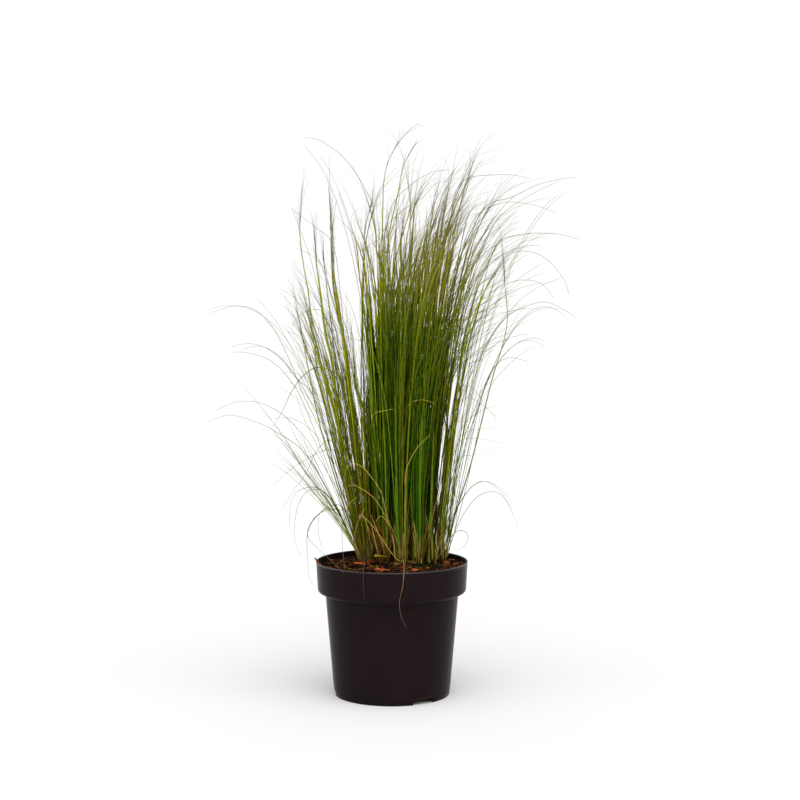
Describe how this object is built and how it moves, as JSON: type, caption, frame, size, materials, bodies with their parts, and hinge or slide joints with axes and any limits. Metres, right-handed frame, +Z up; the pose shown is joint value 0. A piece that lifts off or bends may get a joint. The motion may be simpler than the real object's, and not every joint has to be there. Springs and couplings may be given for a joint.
{
  "type": "mexican feather grass in a nursery pot",
  "caption": "Tall clump of fine-bladed mexican feather grass growing in a round plastic nursery pot with soil.",
  "frame": {"origin": "on the ground, at the middle of the object's box, which is the pot's axis", "axes": "+Z up along the pot's axis and the plant's height, -Y towards the front, +X to the right"},
  "size_m": [0.406, 0.406, 0.6218],
  "materials": {
    "black_plastic": "satin moulded plastic",
    "potting_soil": "rough, with bark chips",
    "grass": "fine green blades"
  },
  "bodies": {
    "root": {"pot": "black_plastic", "soil": "potting_soil", "grass_bunch_01": "grass", "grass_bunch_02": "grass", "grass_bunch_03": "grass", "grass_bunch_04": "grass", "grass_bunch_05": "grass", "grass_bunch_06": "grass", "grass_bunch_07": "grass", "grass_bunch_08": "grass", "grass_bunch_09": "grass", "grass_bunch_10": "grass", "grass_bunch_11": "grass", "grass_bunch_12": "grass", "grass_bunch_13": "grass", "grass_bunch_14": "grass"}
  },
  "joints": []
}
